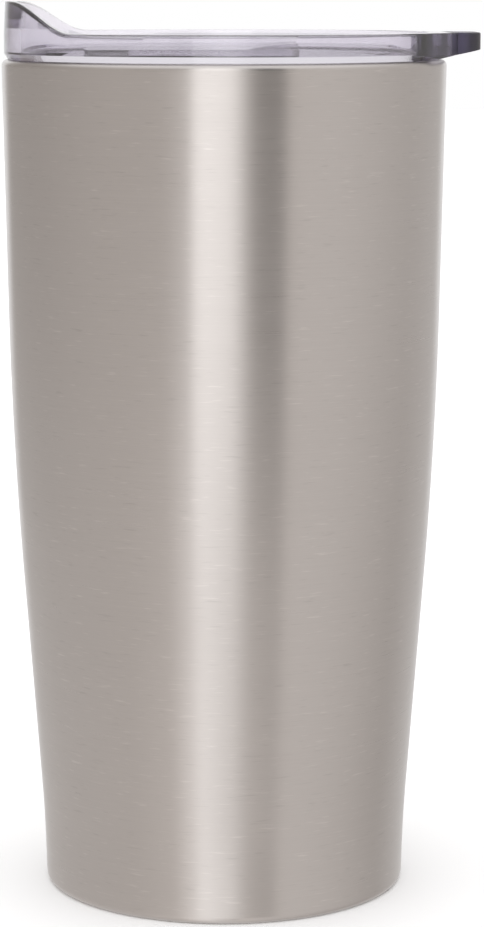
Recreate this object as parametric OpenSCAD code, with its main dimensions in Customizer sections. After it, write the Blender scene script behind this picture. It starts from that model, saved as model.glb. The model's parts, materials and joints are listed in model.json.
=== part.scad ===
// Vacuum-insulated steel tumbler with a clear push-in lid.
// The lid has a raised drinking lip towards -X, a pull tab towards +X, and a thumb
// slider that closes the drink hole behind the lip. It stands in millimetres, +Z up,
// with the origin on the table at the tumbler's axis, and the slider open.

/* [Steel body] */
// Height of the steel body, from the table to the rim
body_h = 166.5; // [140:0.5:200]
// Outer diameter at the rim
mouth_d = 88; // [74:0.5:106]
// Outer diameter at the foot
foot_d = 73; // [62:0.5:84]
// Draft of the upper wall, in degrees
upper_draft = 1.05; // [0.5:0.05:2]
// Draft of the foot's wall, in degrees
foot_draft = 1.15; // [0:0.05:2]
// Height of the bend where the wall turns upright
shoulder_z = 90; // [80:1:100]
// Length of that bend to each side
shoulder_bend = 28; // [20:1:34]
// Height of the bend above the foot
waist_z = 12.5; // [11:0.5:16]
// Length of that bend to each side
waist_bend = 8; // [5:0.5:9]
// Outer radius of the foot's corner
foot_round = 1.5; // [1.2:0.1:2.4]
// Outer radius of the rim's corner
rim_round = 1.2; // [0.9:0.1:1.5]
// Width of the rim, from the outer wall to the liner's inner wall
rim_w = 2.6; // [2.3:0.1:3.2]
// Thickness of the outer shell
shell_t = 0.6; // [0.4:0.05:0.8]

/* [Liner] */
// Thickness of the liner
liner_t = 0.5; // [0.4:0.05:0.6]
// Radius of the liner's lip at the rim
lip_round = 0.8; // [0.7:0.05:1]
// Depth of the straight seat for the lid
seat_depth = 17; // [14:0.5:20]
// Gap between the liner and the shell at the foot
vacuum_gap = 5.4; // [3:0.1:7]
// Height of the liner's floor above the table
floor_z = 10; // [9:0.5:14]
// Inner radius between the liner's floor and wall
floor_round = 8; // [5:0.5:10]

/* [Base] */
// Width of the steel ring that the tumbler stands on, inside the foot's corner
stand_w = 1.6; // [1.2:0.1:3]
// Thickness of the base plate
base_t = 0.6; // [0.4:0.05:0.8]
// Height of the base plate above the table
base_rise = 1.8; // [1.4:0.1:2.2]
// Thickness of the cover disc under the base plate
cover_t = 0.5; // [0.3:0.05:0.6]
// Radius of the dimple that holds the vacuum seal
dimple_r = 4; // [3:0.25:5]
// Depth of that dimple
dimple_h = 1.2; // [0.8:0.1:1.4]
// Radius of the evacuation hole
vac_hole_r = 0.75; // [0.5:0.05:1.2]
// Radius of the getter pellet
getter_r = 4; // [3:0.25:5]
// Thickness of the getter pellet
getter_h = 2.6; // [2:0.1:3]
// Distance of the getter from the axis
getter_x = 14; // [10:1:20]

/* [Lid] */
// Step from the steel wall in to the lid's flange
flange_inset = 0.5; // [0.3:0.1:1.2]
// Height of the flange's lower edge above the rim
flange_lift = 1.2; // [1:0.1:2.5]
// Height of the flange's outer wall
flange_h = 4.1; // [3.4:0.1:5]
// Thickness of the flange's wall at the deck
flange_wall = 3.3; // [2.8:0.1:3.6]
// Depth of the deck below the flange's top
deck_drop = 5.2; // [4.4:0.1:6]
// Thickness of the deck
deck_t = 1.6; // [1.2:0.1:2]
// Depth of the skirt below the rim
skirt_depth = 10.5; // [9.5:0.5:12]
// Gap between the lid's plug and the liner
plug_gap = 0.4; // [0.3:0.05:0.6]
// Depth of the gasket's groove
groove_depth = 1.4; // [1.2:0.1:1.6]
// Height of the gasket's groove
groove_h = 5; // [4:0.5:5.5]
// Height of the plug's edge below the groove
plug_edge = 1.6; // [1.4:0.1:2]
// Thickness of the skirt behind the groove
skirt_t = 1.4; // [1.1:0.1:1.6]
// Radius of the air hole in the deck
air_hole_r = 1.2; // [0.8:0.1:1.6]
// Distance of the air hole from the axis
air_hole_x = 31; // [26:1:33]

/* [Drinking lip and tab] */
// Rise of the drinking lip above the flange
lip_rise = 6.1; // [4:0.1:8]
// Lean of the lip's outer wall over its height
lip_lean = 0.3; // [0:0.05:0.8]
// Thickness of the lip at its crest
lip_crest = 2.2; // [1.8:0.1:2.6]
// Draft of the wall's inner face up to its knee, in degrees
wall_draft = 1.5; // [0.5:0.1:3]
// Height above the flange at which that face starts to lean out
knee_rise = 0.8; // [0.4:0.1:3]
// Distance from the flange's outer wall in to the start of the crest
lip_start = 2; // [1.5:0.5:4]
// Length that the lip takes to come down to the flange
lip_run = 12.5; // [9:0.5:16]
// Reach of the pull tab past the flange
tab_reach = 6.8; // [5:0.1:12]
// Width of the tab's tip
tab_w = 21; // [16:0.5:26]
// Radius of the tab's tip corners
tab_round = 5; // [3:0.5:7]
// Angle to each side where the tab leaves the flange, in degrees
tab_angle = 36; // [30:1:42]
// Thickness of the tab at its tip
tab_t = 3.3; // [2.8:0.1:3.6]

/* [Slider] */
// Width of the drink hole
drink_w = 18; // [14:0.5:20]
// Length of the drink hole towards the axis
drink_l = 6.2; // [5:0.1:7]
// Travel of the slider
slider_travel = 12; // [11:0.5:13]
// Length of the slider
slider_l = 42.5; // [38:0.5:46]
// Width of the slider
slider_w = 23; // [22:0.5:26]
// Radius of the slider's back corners
slider_round = 4; // [2:0.5:6]
// Thickness of the slider's plate
slider_t = 1.3; // [1.2:0.1:1.6]
// Length of the thumb ramp
thumb_l = 9.6; // [8:0.2:11]
// Width of the thumb ramp
thumb_w = 16; // [12:0.5:18]
// Rise of the thumb ramp above the plate
thumb_rise = 1.1; // [0.8:0.1:1.6]
// Length of each snap leg along the travel
leg_l = 3.5; // [2.5:0.25:4]
// Width of each snap leg
leg_w = 5.6; // [4.5:0.1:6.5]
// Distance between the centres of the legs
leg_pitch = 7.8; // [7:0.1:9]
// Reach of the shut slider past the back of the slot that its legs run in
slot_cover = 4.4; // [2:0.2:6]
// Thickness of the clip under the deck
clip_t = 1.5; // [1.2:0.1:1.8]
// Width of the clip
clip_w = 14; // [12:0.5:18]
// Height of the hooks on the legs
hook_h = 0.6; // [0.5:0.05:0.8]
// Thickness of the silicone pad under the slider
pad_t = 0.8; // [0.5:0.05:0.9]

/* [Clearances] */
// Gap between the lid's land and the rim
seat_gap = 0.05; // [0.03:0.01:0.1]
// Gap between the gasket and the liner, and around it in its groove
ring_gap = 0.05; // [0.03:0.01:0.08]
// Gap above and below the deck for the sliding pieces
deck_gap = 0.1; // [0.05:0.01:0.15]
// Gap at the sides of pieces that slide or fit in slots
side_gap = 0.2; // [0.1:0.05:0.3]
// Gap between the tab's root and the rim
tab_gap = 0.3; // [0.2:0.05:0.5]

/* [Hidden] */
$fn = 96;
bend_steps = 12;
arc_steps = 6;
curve_steps = 16;
eps = 0.01;

steel = [0.72, 0.69, 0.67];
liner_steel = [0.78, 0.77, 0.76];
solder = [0.32, 0.30, 0.28];
getter_grey = [0.35, 0.35, 0.36];
clear_smoke = [0.74, 0.74, 0.80, 0.45];
silicone = [0.86, 0.86, 0.86, 0.75];

// Radii and heights of the steel body
mouth_r = mouth_d / 2;
foot_r = foot_d / 2;
shoulder_r = mouth_r - (body_h - shoulder_z) * tan(upper_draft);
waist_r = foot_r + waist_z * tan(foot_draft);
bore_r = mouth_r - rim_w;
weld_r = bore_r + lip_round;
crown_r = mouth_r - rim_round;
stand_r = foot_r - foot_round - stand_w;
liner_foot_r = foot_r - shell_t - vacuum_gap - liner_t;
seat_z = body_h - seat_depth;
seat_bend = 8;

// The base's cover disc and the getter
cover_gap = 0.4;
cover_r = stand_r - base_t - cover_gap;
cover_rim_w = 5;
cover_step = 0.4;
cover_skew = 0.2;
cover_step_r = cover_r - cover_rim_w;
dimple_taper = 1;
dimple_floor_r = dimple_r - dimple_taper;
bead_gap = 0.2;
bead_taper = 0.6;
bead_mid_h = dimple_h / 2;
clip_wall = 0.3;
clip_lip = 1;
getter_top = floor_z - liner_t;
getter_play = 0.2;

// Radii and heights of the lid
flange_r = mouth_r - flange_inset;
flange_z = body_h + flange_lift;
lid_top = flange_z + flange_h;
edge = 0.4;
deck_top = lid_top - deck_drop;
deck_z = deck_top - deck_t;
plug_r = bore_r - plug_gap;
groove_r = plug_r - groove_depth;
skirt_r = groove_r - skirt_t;
skirt_z = body_h - skirt_depth;
groove_z = skirt_z + plug_edge;
plug_chamfer = 0.6;
ring_chamfer = 0.2;
fins = 3;
fin_foot = 0.1;
fin_tip = 0.4;
wall_foot_r = flange_r - flange_wall;
lip_top = lid_top + lip_rise;
crest_r = flange_r - lip_lean;
knee_z = lid_top + knee_rise;
knee_r = wall_foot_r + (knee_z - deck_top) * tan(wall_draft);
tab_tip_x = flange_r + tab_reach;
tab_bite = 1.2;

// The drink hole ends just inside the skirt
drink_gap = 0.2;
drink_r = skirt_r - drink_gap;

// The slider, in its open place
slide_z = deck_top + deck_gap;
front_r = wall_foot_r - 2 * side_gap;
slider_front = slider_travel - front_r;
slider_back = slider_front + slider_l;
thumb_inset = 0.3;
thumb_back = slider_back - thumb_inset;
thumb_front = thumb_back - thumb_l;
leg_back_x = slider_back - slider_travel - slot_cover - side_gap - leg_l / 2;
leg_x = [leg_back_x - leg_pitch, leg_back_x];
slot_x = [leg_x[0] - leg_l / 2 - slider_travel - side_gap, leg_x[1] + leg_l / 2 + side_gap];
slot_w = leg_w + 2 * side_gap;
clip_top = deck_z - deck_gap;
clip_margin = 2;
clip_x = [leg_x[0] - leg_l / 2 - clip_margin, leg_x[1] + leg_l / 2 + clip_margin];
hook_reach = 0.6;
hook_lead = 0.3;
cut = 1;
pad_cover = 1.2;
pad_back = slider_travel - drink_r + drink_l + pad_cover;
pad_w = drink_w + 2 * pad_cover;

// The point at distance d from a towards b
function toward(a, b, d) = a + (b - a) * d / norm(b - a);

// A smooth bend at knee k of the line a, k, b, reaching d to each side
function bend(a, k, b, d) =
    let (p = toward(k, a, d), q = toward(k, b, d))
    [for (i = [0 : bend_steps]) let (t = i / bend_steps)
        (1 - t) * (1 - t) * p + 2 * t * (1 - t) * k + t * t * q];

// An arc of radius r about c
function arc(c, r, from, to, steps = arc_steps) =
    [for (i = [0 : steps]) let (a = from + (to - from) * i / steps)
        c + r * [cos(a), sin(a)]];

// An S-curve from 0 at t = 0 to 1 at t = 1
function ease(t) = let (u = max(0, min(1, t))) u * u * (3 - 2 * u);

// The points of a list in the opposite order
function back(list) = [for (i = [len(list) - 1 : -1 : 0]) list[i]];

// The body's outer wall, from the foot to the rim, moved in by t
function wall(t) =
    let (foot = [foot_r - t, 0], waist = [waist_r - t, waist_z],
         shoulder = [shoulder_r - t, shoulder_z], mouth = [mouth_r - t, body_h])
    concat(bend(foot, waist, shoulder, waist_bend),
           bend(waist, shoulder, mouth, shoulder_bend));

module outer_shell() {
    foot_c = [foot_r - foot_round, foot_round];
    rim_c = [crown_r, body_h - rim_round];
    color(steel) rotate_extrude()
        polygon(concat(
            [[stand_r, 0]], arc(foot_c, foot_round, -90, 0), wall(0),
            arc(rim_c, rim_round, 0, 90), [[weld_r, body_h], [weld_r, body_h - shell_t]],
            arc(rim_c, rim_round - shell_t, 90, 0), back(wall(shell_t)),
            arc(foot_c, foot_round - shell_t, 0, -90), [[stand_r, shell_t]]));
}

// The liner's wall, from its floor to its lip, at distance t outside the inner face
function liner_side(t) =
    let (floor_c = [liner_foot_r - floor_round, floor_z + floor_round],
         seat = [bore_r + t, seat_z], lip = [bore_r + t, body_h - lip_round],
         foot = [liner_foot_r + t, floor_c[1]])
    concat(arc(floor_c, floor_round + t, -90, 0, bend_steps), bend(foot, seat, lip, seat_bend));

module inner_liner() {
    lip_c = [weld_r, body_h - lip_round];
    color(liner_steel) rotate_extrude()
        polygon(concat(
            [[0, floor_z]], liner_side(0), arc(lip_c, lip_round, 180, 90),
            arc(lip_c, lip_round - liner_t, 90, 180), back(liner_side(liner_t)),
            [[0, floor_z - liner_t]]));
}

module outer_base() {
    plate_top = base_rise + base_t;
    color(steel) rotate_extrude()
        polygon([
            [stand_r, 0], [stand_r, plate_top],
            [dimple_r + base_t / 2, plate_top], [dimple_floor_r + base_t / 2, plate_top + dimple_h],
            [vac_hole_r, plate_top + dimple_h], [vac_hole_r, base_rise + dimple_h],
            [dimple_floor_r, base_rise + dimple_h], [dimple_r, base_rise],
            [stand_r - base_t, base_rise], [stand_r - base_t, 0]]);
}

// A disc with a pressed centre, bonded under the base plate
module base_cover() {
    z = base_rise - cover_t;
    color(steel) rotate_extrude()
        polygon([
            [0, z - cover_step], [cover_step_r, z - cover_step], [cover_step_r + cover_step, z],
            [cover_r, z], [cover_r, base_rise],
            [cover_step_r + cover_step - cover_skew, base_rise],
            [cover_step_r - cover_skew, base_rise - cover_step], [0, base_rise - cover_step]]);
}

// The glass bead that closes the evacuation hole
module vacuum_seal() {
    color(solder) rotate_extrude()
        polygon([
            [0, base_rise + bead_gap], [dimple_floor_r - bead_taper, base_rise + bead_mid_h],
            [dimple_floor_r, base_rise + dimple_h], [vac_hole_r, base_rise + dimple_h],
            [vac_hole_r, base_rise + dimple_h + base_t], [0, base_rise + dimple_h + base_t]]);
}

// A pressed cup, spot-welded under the liner
module getter_clip() {
    in_r = getter_r + getter_play;
    low = getter_top - getter_h - getter_play - clip_wall;
    color(steel) translate([getter_x, 0, 0]) rotate_extrude()
        polygon([
            [in_r - clip_lip, low], [in_r + clip_wall, low], [in_r + clip_wall, getter_top],
            [in_r, getter_top], [in_r, low + clip_wall], [in_r - clip_lip, low + clip_wall]]);
}

module getter_pellet() {
    color(getter_grey) translate([getter_x, 0, getter_top - getter_h - getter_play])
        cylinder(r = getter_r, h = getter_h);
}

// The lid's section all the way round: skirt, deck and wall, up to the lip's crest
module lid_section() {
    lip_c = [weld_r, body_h - lip_round];
    polygon(concat(
        [[0, deck_z], [skirt_r, deck_z], [skirt_r, skirt_z], [plug_r - plug_chamfer, skirt_z],
         [plug_r, skirt_z + plug_chamfer], [plug_r, groove_z], [groove_r, groove_z],
         [groove_r, groove_z + groove_h], [plug_r, groove_z + groove_h],
         [plug_r, body_h - lip_round - plug_gap]],
        arc(lip_c, lip_round + seat_gap, 180, 90),
        [[crown_r, body_h + seat_gap], [flange_r, flange_z], [flange_r, lid_top],
         [crest_r, lip_top], [crest_r - lip_crest, lip_top], [knee_r, knee_z],
         [wall_foot_r, deck_top], [0, deck_top]]));
}

// The lid's side view: the drinking lip, its S-curve down to the flange, and the tab's tip
module side_view() {
    x0 = -(flange_r - lip_start);
    rotate([90, 0, 0]) linear_extrude(height = 2 * mouth_r, center = true)
        polygon(concat(
            [[-mouth_r, skirt_z - cut], [-mouth_r, lip_top]],
            [for (i = [0 : curve_steps]) let (t = i / curve_steps)
                [x0 + t * lip_run, lid_top + lip_rise * ease(1 - t)]],
            [[tab_tip_x - edge, lid_top], [tab_tip_x, lid_top - edge],
             [tab_tip_x, skirt_z - cut]]));
}

// The tab's outline from above, with flanks that leave the flange smoothly
module tab_plan() {
    start = flange_r * [cos(tab_angle), sin(tab_angle)];
    knee = start + (tab_tip_x - start[0]) * [sin(tab_angle), -cos(tab_angle)];
    corner = [tab_tip_x - tab_round, tab_w / 2 - tab_round];
    flank = [for (i = [0 : curve_steps - 1]) let (t = i / curve_steps)
        (1 - t) * (1 - t) * start + 2 * t * (1 - t) * knee + t * t * (corner + [0, tab_round])];
    side = concat(flank, arc(corner, tab_round, 90, 0));
    difference() {
        polygon(concat([[0, 0]], side, [for (p = back(side)) [p[0], -p[1]]]));
        circle(r = flange_r - tab_bite);
    }
}

// The tab, with an underside that rises to the tip
module tab() {
    root = body_h + tab_gap;
    intersection() {
        translate([0, 0, root]) linear_extrude(height = lip_top - root) tab_plan();
        rotate([90, 0, 0]) linear_extrude(height = 2 * mouth_r, center = true)
            polygon([[0, root], [crown_r - tab_bite, root], [tab_tip_x - edge, lid_top - tab_t],
                     [tab_tip_x, lid_top - tab_t + edge], [tab_tip_x + cut, lip_top + cut],
                     [0, lip_top + cut]]);
    }
}

// The drink hole's outline, whose outer edge follows the skirt
module drink_plan() {
    intersection() {
        circle(r = drink_r);
        translate([-drink_r, -drink_w / 2]) square([drink_l, drink_w]);
    }
}

module slot_plan() {
    translate([slot_x[0], -slot_w / 2]) square([slot_x[1] - slot_x[0], slot_w]);
}

module lid_body() {
    color(clear_smoke) difference() {
        intersection() {
            union() {
                rotate_extrude() lid_section();
                tab();
            }
            side_view();
        }
        translate([0, 0, deck_z - cut]) linear_extrude(height = deck_t + 2 * cut) drink_plan();
        translate([0, 0, deck_z - cut]) linear_extrude(height = deck_t + 2 * cut) slot_plan();
        translate([air_hole_x, 0, deck_z - cut]) cylinder(r = air_hole_r, h = deck_t + 2 * cut);
    }
}

// A ring with three fins that touch the liner
module lid_gasket() {
    low = groove_z + ring_gap;
    high = groove_z + groove_h - ring_gap;
    in_r = groove_r + ring_gap;
    fin_r = bore_r - ring_gap;
    pitch = (high - low) / fins;
    fin = [[plug_r, fin_foot], [fin_r, fin_tip], [fin_r, 1 - fin_tip], [plug_r, 1 - fin_foot]];
    color(silicone) rotate_extrude()
        polygon(concat(
            [[in_r, low], [plug_r - ring_chamfer, low]],
            [for (i = [0 : fins - 1], p = fin) [p[0], low + (i + p[1]) * pitch]],
            [[plug_r - ring_chamfer, high], [in_r, high]]));
}

// The slider's outline: an arc that meets the lip's ramp when shut, and a round back
module slider_plan(inset) {
    half = slider_w / 2 - inset;
    corner = [slider_back - slider_round - inset, half - slider_round];
    intersection() {
        translate([slider_travel, 0]) circle(r = front_r - inset);
        polygon(concat(
            [[slider_front - cut, -half]], arc([corner[0], -corner[1]], slider_round, -90, 0),
            arc(corner, slider_round, 0, 90), [[slider_front - cut, half]]));
    }
}

module pad_plan(gap) {
    intersection() {
        translate([slider_travel, 0]) circle(r = front_r - side_gap + gap);
        translate([slider_front - cut, -pad_w / 2 - gap])
            square([pad_back - slider_front + cut + gap, pad_w + 2 * gap]);
    }
}

// A snap leg that passes through the deck and the clip, with a hook to each side
module leg(x) {
    low = clip_top - clip_t - hook_h;
    translate([x - leg_l / 2, -leg_w / 2, low]) cube([leg_l, leg_w, slide_z - low + eps]);
    translate([x, 0, low]) rotate([90, 0, 90]) linear_extrude(height = leg_l, center = true)
        polygon([[-leg_w / 2 + hook_lead, 0], [-leg_w / 2 - hook_reach, hook_h],
                 [leg_w / 2 + hook_reach, hook_h], [leg_w / 2 - hook_lead, 0]]);
}

// A rounded wedge to push with the thumb, steep at its back
module thumb_ramp() {
    top = slide_z + slider_t - eps;
    translate([0, 0, top]) rotate([90, 0, 0])
        linear_extrude(height = thumb_w, center = true)
            polygon(concat(
                [for (i = [0 : curve_steps]) let (t = i / curve_steps)
                    [thumb_front + t * thumb_l, eps + thumb_rise * sin(90 * t)]],
                [[thumb_back, 0], [thumb_front, 0]]));
}

module slider() {
    color(clear_smoke) difference() {
        union() {
            translate([0, 0, slide_z]) linear_extrude(height = slider_t) slider_plan(0);
            thumb_ramp();
            for (x = leg_x) leg(x);
        }
        translate([0, 0, slide_z - cut]) linear_extrude(height = pad_t + cut) pad_plan(side_gap / 2);
    }
}

module slider_pad() {
    color(silicone) translate([0, 0, deck_top + deck_gap / 2])
        linear_extrude(height = pad_t + deck_gap / 2) pad_plan(0);
}

module slider_clip() {
    color(clear_smoke) translate([0, 0, clip_top - clip_t]) linear_extrude(height = clip_t)
        difference() {
            translate([clip_x[0], -clip_w / 2]) square([clip_x[1] - clip_x[0], clip_w]);
            for (x = leg_x)
                translate([x - leg_l / 2 - side_gap / 2, -leg_w / 2 - side_gap / 2])
                    square([leg_l + side_gap, leg_w + side_gap]);
        }
}

outer_shell();
inner_liner();
outer_base();
base_cover();
vacuum_seal();
getter_clip();
getter_pellet();
lid_body();
lid_gasket();
slider();
slider_clip();
slider_pad();
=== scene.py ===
"""The looks of a vacuum-insulated steel tumbler with a clear push-in lid.

Everything is in metres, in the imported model's frame: +Z up, the tumbler's axis on Z, the
drinking lip towards -X and the pull tab towards +X.
"""

import json
from math import atan2, cos, hypot, pi, radians, sin, tan

import bmesh
import bpy
import numpy as np
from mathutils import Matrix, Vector


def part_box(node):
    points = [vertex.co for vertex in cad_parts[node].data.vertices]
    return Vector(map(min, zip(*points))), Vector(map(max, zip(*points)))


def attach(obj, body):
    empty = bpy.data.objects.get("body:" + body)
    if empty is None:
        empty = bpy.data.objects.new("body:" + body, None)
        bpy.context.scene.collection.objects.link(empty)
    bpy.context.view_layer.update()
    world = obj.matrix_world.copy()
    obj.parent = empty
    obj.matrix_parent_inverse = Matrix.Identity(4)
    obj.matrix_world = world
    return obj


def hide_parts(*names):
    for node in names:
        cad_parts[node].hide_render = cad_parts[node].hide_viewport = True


bl_info = {
    "name": "Insulated tumbler",
    "version": (1, 0, 0),
    "blender": (4, 5, 0),
    "location": "View3D > Sidebar > Tumbler",
    "description": "Builds a steel tumbler, its clear lid and a small studio",
    "category": "Add Mesh",
}

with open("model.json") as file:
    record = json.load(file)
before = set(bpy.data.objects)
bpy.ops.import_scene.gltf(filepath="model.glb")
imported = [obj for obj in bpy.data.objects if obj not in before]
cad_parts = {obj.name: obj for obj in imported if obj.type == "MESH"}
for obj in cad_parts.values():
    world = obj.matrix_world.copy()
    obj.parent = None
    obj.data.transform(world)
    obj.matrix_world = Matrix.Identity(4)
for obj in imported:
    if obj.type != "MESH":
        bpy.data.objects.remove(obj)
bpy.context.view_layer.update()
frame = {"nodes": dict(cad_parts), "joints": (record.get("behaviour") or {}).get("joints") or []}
MM = 0.001
SHARP = radians(32)


# ---------------------------------------------------------------- sizes and colours


def length(name, description, millimetres):
    """A length property, whose default is given in millimetres."""
    return bpy.props.FloatProperty(
        name=name, description=description, default=millimetres * MM, unit="LENGTH", precision=5
    )


def angle(name, description, degrees):
    """An angle property, whose default is given in degrees."""
    return bpy.props.FloatProperty(
        name=name, description=description, default=radians(degrees), subtype="ANGLE"
    )


def colour(name, description, red, green, blue):
    """A colour property."""
    return bpy.props.FloatVectorProperty(
        name=name, description=description, default=(red, green, blue), size=3,
        subtype="COLOR", min=0, max=1,
    )


def factor(name, description, value):
    """A plain number from 0 to 1."""
    return bpy.props.FloatProperty(
        name=name, description=description, default=value, min=0, max=1, subtype="FACTOR"
    )


class TumblerBody(bpy.types.PropertyGroup):
    """Sizes and finish of the steel body."""

    foot_radius: length("Foot radius", "Outer radius at the foot", 36.5)
    upper_draft: angle("Upper draft", "Draft of the upper wall", 1.05)
    foot_draft: angle("Foot draft", "Draft of the foot's wall", 1.15)
    shoulder_z: length("Shoulder height", "Height of the bend to the upright wall", 90)
    shoulder_bend: length("Shoulder bend", "Length of that bend to each side", 28)
    waist_z: length("Waist height", "Height of the bend above the foot", 12.5)
    waist_bend: length("Waist bend", "Length of that bend to each side", 8)
    foot_round: length("Foot rounding", "Outer radius of the foot's corner", 1.5)
    rim_round: length("Rim rounding", "Outer radius of the rim's corner", 1.2)
    shell_t: length("Shell thickness", "Thickness of the outer shell", 0.6)
    liner_t: length("Liner thickness", "Thickness of the liner", 0.5)
    lip_round: length("Liner lip", "Radius of the liner's lip", 0.8)
    floor_round: length("Floor rounding", "Radius between the liner's floor and wall", 8)
    floor_radius: length("Floor radius", "Inner radius of the liner at its floor", 30)
    seat_depth: length("Seat depth", "Depth of the liner's straight seat", 17)
    seat_bend: length("Seat bend", "Length of the bend under the seat to each side", 8)
    stand_w: length("Standing ring", "Width of the ring that the tumbler stands on", 1.6)
    steel: colour("Steel", "Colour of the brushed shell", 0.6, 0.567, 0.549)
    liner_steel: colour("Liner steel", "Colour of the polished liner", 0.82, 0.8, 0.785)
    roughness: factor("Roughness", "Roughness of the brushed shell", 0.27)
    anisotropy: factor("Brushing", "How far the brushing stretches a highlight", 0.9)


class TumblerLid(bpy.types.PropertyGroup):
    """Sizes and finish of the clear lid and what moves on it."""

    flange_lift: length("Flange lift", "Height of the flange's edge above the rim", 1.2)
    flange_h: length("Flange height", "Height of the flange's outer wall", 4.1)
    flange_wall: length("Flange wall", "Thickness of the flange's wall at the deck", 3.3)
    wall_draft: angle("Wall draft", "Draft of the wall's inner face, up to its knee", 1.5)
    knee_rise: length("Knee", "Height above the flange at which that face starts to lean out", 0.8)
    deck_drop: length("Deck depth", "Depth of the deck below the flange's top", 5.2)
    deck_t: length("Deck thickness", "Thickness of the deck", 1.6)
    lip_lean: length("Lip lean", "Lean of the lip's outer wall over its height", 0.3)
    lip_crest: length("Lip crest", "Thickness of the lip at its crest", 2.2)
    lip_start: length("Lip start", "Distance from the flange in to the crest's end", 2)
    lip_run: length("Lip run", "Length that the lip takes to come down", 12.5)
    edge: length("Edge rounding", "Radius of the lid's moulded edges", 0.3)
    seat_gap: length("Seat gap", "Gap between the lid's land and the rim", 0.05)
    plug_gap: length("Plug gap", "Gap between the lid's plug and the liner", 0.4)
    groove_depth: length("Groove depth", "Depth of the gasket's groove", 1.4)
    skirt_t: length("Skirt thickness", "Thickness of the skirt behind the groove", 1.4)
    tab_angle: angle("Tab angle", "Angle to each side where the tab leaves the flange", 36)
    tab_w: length("Tab width", "Width of the tab's tip", 21)
    tab_round: length("Tab rounding", "Radius of the tab's corners", 5)
    tab_t: length("Tab thickness", "Thickness of the tab at its tip", 3.3)
    tab_gap: length("Tab gap", "Gap between the tab's root and the rim", 0.3)
    drink_w: length("Drink hole width", "Width of the drink hole", 18)
    drink_l: length("Drink hole length", "Length of the drink hole towards the axis", 6.2)
    air_hole_r: length("Air hole radius", "Radius of the air hole", 1.2)
    slot_play: length("Slot play", "Room round the slider's legs in the deck's slot", 0.2)
    deck_gap: length("Deck gap", "Gap under the slider's plate", 0.1)
    plate_t: length("Plate", "Thickness of the slider's plate", 1.3)
    plate_round: length("Plate corners", "Radius of the plate's back corners", 4)
    thumb_inset: length("Thumb ramp inset", "From the plate's back edge to the ramp", 0.3)
    thumb_l: length("Thumb ramp length", "Length of the thumb ramp", 9.6)
    thumb_w: length("Thumb ramp width", "Width of the thumb ramp", 16)
    leg_l: length("Leg length", "Length of a leg along the travel", 3.5)
    leg_w: length("Leg width", "Width of a leg", 5.6)
    hook: length("Hook", "How far a leg's foot stands out under the clip", 0.6)
    clip_margin: length("Clip margin", "From the clip's end to the nearest leg", 2)
    air_hole_x: length("Air hole place", "Distance of the air hole from the axis", 31)
    absorption: colour("Absorption", "Share of each colour that the plastic lets by", 0.28, 0.22, 0.37)
    density: bpy.props.FloatProperty(
        name="Density", description="How fast the plastic absorbs light, per metre", default=95, min=0
    )
    slider_density: bpy.props.FloatProperty(
        name="Slider density", description="The same, for the slider and its clip", default=15, min=0
    )
    silicone: colour("Silicone", "Colour of the gasket and the slider's pad", 0.86, 0.86, 0.88)


class TumblerStudio(bpy.types.PropertyGroup):
    """The camera's place and the studio round the object."""

    distance: length("Camera distance", "From the tumbler's axis to the camera", 596.4)
    height: length("Camera height", "Height of the camera above the table", 179.8)
    pitch: angle("Camera pitch", "How far the camera looks down", 9)
    lens: bpy.props.FloatProperty(
        name="Lens", description="Focal length on a 36 mm long side", default=115.85, unit="CAMERA"
    )
    shift: bpy.props.FloatProperty(
        name="Shift", description="Sideways shift of the picture", default=0.0193
    )
    floor: colour("Floor", "Colour of the pale floor", 0.88, 0.88, 0.885)


# ---------------------------------------------------------------- outlines


def arc(centre, radius, start, end, steps=8):
    """Points of an arc about a centre, from one angle to another, in degrees."""
    angles = [radians(start + (end - start) * i / steps) for i in range(steps + 1)]
    return [(centre[0] + radius * cos(a), centre[1] + radius * sin(a)) for a in angles]


def bend(a, knee, b, reach, steps=20):
    """A smooth bend at the knee of the line a, knee, b, that reaches to each side."""
    a, knee, b = Vector(a), Vector(knee), Vector(b)
    p = knee + (a - knee).normalized() * reach
    q = knee + (b - knee).normalized() * reach
    points = []
    for i in range(steps + 1):
        t = i / steps
        points.append(tuple((1 - t) ** 2 * p + 2 * t * (1 - t) * knee + t * t * q))
    return points


def fillet(corners, steps=4):
    """Rounds the corners of an open line. Each corner is (r, z, radius)."""
    points = [Vector(c[:2]) for c in corners]
    line = [tuple(points[0])]
    for i in range(1, len(corners) - 1):
        here, radius = points[i], corners[i][2]
        to_last, to_next = points[i - 1] - here, points[i + 1] - here
        half = to_last.angle(to_next, pi) / 2
        if radius == 0:
            line.append(tuple(here))
            continue
        if half > 0.49 * pi:
            line += [tuple(here)] * (steps + 1)
            continue
        reach = min(radius / tan(half), 0.48 * to_last.length, 0.48 * to_next.length)
        start = here + to_last.normalized() * reach
        end = here + to_next.normalized() * reach
        out = (start + end) / 2 - here
        radius = reach * tan(half)
        centre = here + out.normalized() * hypot(reach, radius)
        first = start - centre
        turn = first.angle_signed(end - centre)
        for k in range(steps + 1):
            a = turn * k / steps
            spun = Vector((first.x * cos(a) + first.y * sin(a), first.y * cos(a) - first.x * sin(a)))
            line.append(tuple(centre + spun))
    line.append(tuple(points[-1]))
    return line


def ease(t):
    """An S-curve from 0 at t = 0 to 1 at t = 1."""
    t = max(0.0, min(1.0, t))
    return t * t * (3 - 2 * t)


# ---------------------------------------------------------------- meshes


def link(name, mesh):
    """A new object at the origin that holds this mesh."""
    obj = bpy.data.objects.new(name, mesh)
    bpy.context.scene.collection.objects.link(obj)
    return obj


def drop(obj):
    """Removes a helper object and its mesh."""
    mesh = obj.data
    bpy.data.objects.remove(obj)
    bpy.data.meshes.remove(mesh)


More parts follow.
